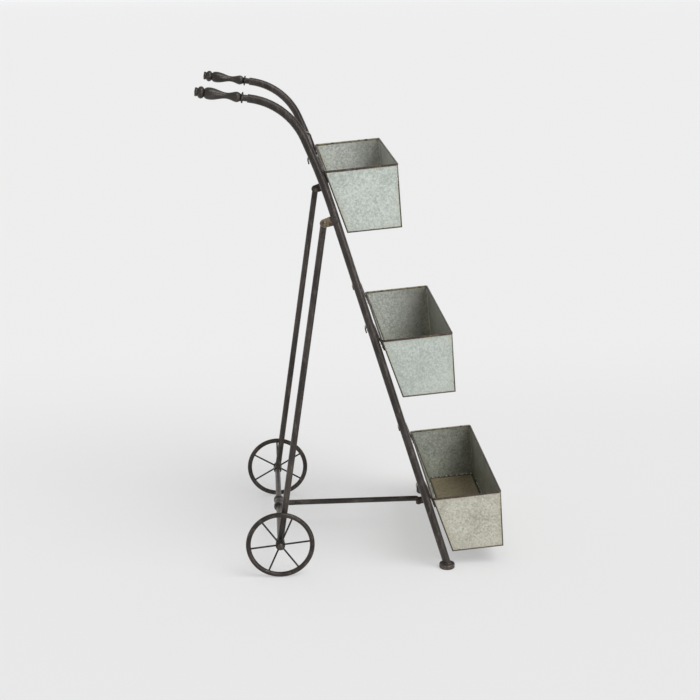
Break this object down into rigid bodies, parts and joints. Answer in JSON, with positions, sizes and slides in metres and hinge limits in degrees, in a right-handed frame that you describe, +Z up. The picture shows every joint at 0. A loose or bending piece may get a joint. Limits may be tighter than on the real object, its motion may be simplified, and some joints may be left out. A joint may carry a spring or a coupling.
{
  "type": "flower cart stand",
  "caption": "Folding flower cart stand: two bent tube rails with turned grips, hinged rear legs on a spoked-wheel axle, a hooked stay and hanging galvanised planter troughs.",
  "frame": {"origin": "on the floor, below the middle of the cart's width and depth", "axes": "+X to the cart's right seen from the front, across the width; +Y to the rear, where the grips point; +Z up"},
  "size_m": [0.482, 0.6004, 0.9891],
  "materials": {
    "frame_paint": "dark antique bronze, satin, rubbed lighter along the edges",
    "foot_paint": "dark antique bronze, satin",
    "grip_casting": "dark antique bronze over a turned casting, satin",
    "lug_bronze": "antique bronze with a yellow tint, satin",
    "fastener_steel": "dark antique bronze, worn on the heads",
    "leg_paint": "dark antique bronze, satin",
    "axle_paint": "dark antique bronze, satin",
    "wheel_paint": "dark antique bronze, satin",
    "stay_paint": "dark antique bronze, satin",
    "zinc_sheet": "dull galvanised sheet, mottled, with a yellowish patina toward the edges",
    "rim_bronze": "dark brown wired edge with worn breaks",
    "hook_zinc": "dull galvanised strap",
    "rivet_zinc": "dull galvanised rivet"
  },
  "bodies": {
    "frame": {"left_rail": "frame_paint", "right_rail": "frame_paint", "left_grip": "grip_casting", "right_grip": "grip_casting", "left_foot": "foot_paint", "right_foot": "foot_paint", "left_leg_lug": "lug_bronze", "right_leg_lug": "lug_bronze", "pivot_bolts": "fastener_steel", "pivot_nuts": "fastener_steel", "stay_crossbar": "frame_paint", "bottom_crossbar": "frame_paint", "middle_crossbar": "frame_paint", "top_crossbar": "frame_paint", "stay_ears": "lug_bronze", "stay_pin": "fastener_steel"},
    "rear_legs": {"left_leg": "leg_paint", "right_leg": "leg_paint", "axle": "axle_paint", "axle_eyes": "axle_paint", "axle_collars": "axle_paint", "axle_washers": "axle_paint", "axle_caps": "axle_paint"},
    "left_wheel": {"left_wheel_rim": "wheel_paint", "left_wheel_spokes": "wheel_paint", "left_wheel_hub": "wheel_paint"},
    "right_wheel": {"right_wheel_rim": "wheel_paint", "right_wheel_spokes": "wheel_paint", "right_wheel_hub": "wheel_paint"},
    "stay": {"stay_bar": "stay_paint", "stay_hook": "stay_paint"},
    "bottom_planter": {"bottom_planter": "zinc_sheet", "bottom_planter_bead": "rim_bronze", "bottom_planter_hooks": "hook_zinc", "bottom_planter_rivets": "rivet_zinc"},
    "middle_planter": {"middle_planter": "zinc_sheet", "middle_planter_bead": "rim_bronze", "middle_planter_hooks": "hook_zinc", "middle_planter_rivets": "rivet_zinc"},
    "top_planter": {"top_planter": "zinc_sheet", "top_planter_bead": "rim_bronze", "top_planter_hooks": "hook_zinc", "top_planter_rivets": "rivet_zinc"}
  },
  "joints": [
    {"name": "leg_fold", "type": "hinge", "parent": "frame", "child": "rear_legs", "pos_m": [0, 0.06255, 0.72705], "axis": [-1, 0, 0], "range_deg": [0, 25]},
    {"name": "left_wheel_spin", "type": "hinge", "parent": "rear_legs", "child": "left_wheel", "pos_m": [-0.2281, 0.16225, 0.07], "axis": [1, 0, 0], "continuous": true},
    {"name": "right_wheel_spin", "type": "hinge", "parent": "rear_legs", "child": "right_wheel", "pos_m": [0.2281, 0.16225, 0.07], "axis": [1, 0, 0], "continuous": true},
    {"name": "stay_swing", "type": "hinge", "parent": "frame", "child": "stay", "pos_m": [0, -0.14583, 0.0646], "axis": [1, 0, 0], "range_deg": [0, 70]},
    {"name": "bottom_planter_lift", "type": "slide", "parent": "frame", "child": "bottom_planter", "axis": [0, 0.2924, 0.9563], "range_m": [0, 0.04]},
    {"name": "middle_planter_lift", "type": "slide", "parent": "frame", "child": "middle_planter", "axis": [0, 0.2924, 0.9563], "range_m": [0, 0.04]},
    {"name": "top_planter_lift", "type": "slide", "parent": "frame", "child": "top_planter", "axis": [0, 0.2924, 0.9563], "range_m": [0, 0.04]}
  ],
  "couplings": [
    {"joint": "stay_swing", "follows": "leg_fold", "ratio": 2.8}
  ]
}
